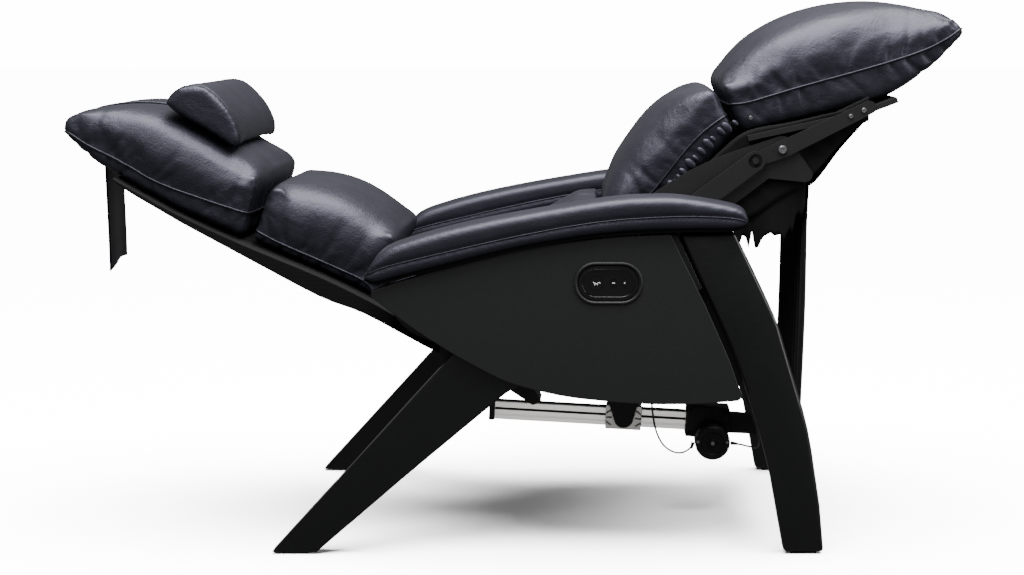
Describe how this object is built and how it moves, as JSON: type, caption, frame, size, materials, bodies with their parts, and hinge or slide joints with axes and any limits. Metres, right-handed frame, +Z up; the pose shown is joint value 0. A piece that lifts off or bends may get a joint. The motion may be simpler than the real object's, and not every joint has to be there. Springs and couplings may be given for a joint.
{
  "type": "zero gravity recliner",
  "caption": "Powered zero gravity recliner with padded leather seat, back and calf rest, bentwood-style black side frames, a rail actuator and side control buttons.",
  "frame": {"origin": "on the floor below the middle of the chair's length and width, fully reclined", "axes": "+X towards the feet end, +Y to the sitter's left, +Z up"},
  "size_m": [1.684, 0.8012, 1.0135],
  "materials": {
    "leather": "semi-gloss black upholstery leather with a fine pebble grain",
    "black_wood": "satin black lacquer over hardwood",
    "charcoal_panel": "smooth satin charcoal laminate",
    "black_cloth": "matt black lining cloth",
    "black_steel": "black powder coat",
    "zinc_steel": "zinc plated",
    "aluminium_rail": "clear anodised extrusion",
    "black_plastic": "moulded, fine texture",
    "grey_plastic": "moulded grey nylon",
    "lead_sheath": "matt flexible sheath"
  },
  "bodies": {
    "base": {"front_cross_tube": "black_steel", "rear_cross_tube": "black_steel", "control_box": "black_plastic", "power_inlet_box": "black_plastic", "control_pod": "black_plastic", "control_bezel": "black_plastic", "motor_lead": "lead_sheath", "pod_lead": "lead_sheath", "front_apron": "black_cloth", "front_leg_right": "black_wood", "rear_leg_right": "black_wood", "side_panel_right": "charcoal_panel", "arm_pad_right": "leather", "chassis_plate_right": "black_steel", "base_pivot_pin_right": "zinc_steel", "floor_glide_front_right": "black_plastic", "floor_glide_rear_right": "black_plastic", "front_leg_left": "black_wood", "rear_leg_left": "black_wood", "side_panel_left": "charcoal_panel", "arm_pad_left": "leather", "chassis_plate_left": "black_steel", "base_pivot_pin_left": "zinc_steel", "floor_glide_front_left": "black_plastic", "floor_glide_rear_left": "black_plastic"},
    "cradle": {"seat_bearer_rear": "black_steel", "seat_bearer_front": "black_steel", "apron_bar": "black_steel", "seat_pan": "black_wood", "back_shell": "black_cloth", "head_pad": "leather", "lumbar_pad": "leather", "seat_pad": "leather", "thigh_pad": "leather", "pillow_strap": "leather", "seat_bracket_right": "black_steel", "knee_pin_right": "zinc_steel", "drive_arm_right": "black_steel", "seat_bracket_left": "black_steel", "knee_pin_left": "zinc_steel", "drive_arm_left": "black_steel"},
    "calf_rest": {"calf_pad": "leather", "calf_board": "black_wood", "calf_arm_right": "black_steel", "link_pin_right": "zinc_steel", "calf_arm_left": "black_steel", "link_pin_left": "zinc_steel"},
    "calf_link": {"calf_link_right": "black_steel", "calf_link_left": "black_steel"},
    "actuator": {"actuator_tail": "black_steel", "motor_housing": "black_plastic", "motor": "black_plastic", "actuator_rail": "aluminium_rail", "rail_end_cap": "black_plastic"},
    "trolley": {"trolley": "grey_plastic"},
    "pillow": {"head_pillow": "leather"},
    "pillow_flap": {"pillow_flap": "leather"},
    "button_recline": {"button_recline": "black_plastic"},
    "button_down": {"button_down": "black_plastic"},
    "button_up": {"button_up": "black_plastic"}
  },
  "joints": [
    {"name": "recline", "type": "hinge", "parent": "base", "child": "cradle", "pos_m": [-0.05, 0, 0.42], "axis": [0, 1, 0], "range_deg": [0, 33], "deforming": ["front_apron"]},
    {"name": "calf_hinge", "type": "hinge", "parent": "cradle", "child": "calf_rest", "pos_m": [0.504, 0, 0.744], "axis": [0, 1, 0], "range_deg": [0, 58.01]},
    {"name": "calf_link_pivot", "type": "hinge", "parent": "base", "child": "calf_link", "pos_m": [-0.06, 0, 0.34], "axis": [0, 1, 0], "range_deg": [0, 27.2]},
    {"name": "actuator_pivot", "type": "hinge", "parent": "base", "child": "actuator", "pos_m": [0.525, 0, 0.17], "axis": [0, 1, 0], "range_deg": [-13.66, 0], "deforming": ["motor_lead", "pod_lead"]},
    {"name": "trolley_slide", "type": "slide", "parent": "actuator", "child": "trolley", "axis": [-0.9983, 0, 0.0576], "range_m": [0, 0.1763]},
    {"name": "pillow_slide", "type": "slide", "parent": "cradle", "child": "pillow", "axis": [0.8762, 0, -0.482], "range_m": [0, 0.05]},
    {"name": "flap_swing", "type": "hinge", "parent": "cradle", "child": "pillow_flap", "pos_m": [-0.8, 0, 0.722], "axis": [0, 1, 0], "range_deg": [-33.01, 0]},
    {"name": "recline_button", "type": "slide", "parent": "base", "child": "button_recline", "axis": [0, 1, 0], "range_m": [0, 0.0015], "stiffness_N_per_m": 400},
    {"name": "down_button", "type": "slide", "parent": "base", "child": "button_down", "axis": [0, 1, 0], "range_m": [0, 0.0015], "stiffness_N_per_m": 400},
    {"name": "up_button", "type": "slide", "parent": "base", "child": "button_up", "axis": [0, 1, 0], "range_m": [0, 0.0015], "stiffness_N_per_m": 400}
  ],
  "couplings": [
    {"joint": "calf_hinge", "follows": "recline", "ratio": 1.7576},
    {"joint": "calf_link_pivot", "follows": "recline", "ratio": 0.82424},
    {"joint": "actuator_pivot", "follows": "recline", "ratio": -0.41371},
    {"joint": "trolley_slide", "follows": "recline", "m_per_rad": 0.30596},
    {"joint": "flap_swing", "follows": "recline", "ratio": -1}
  ]
}
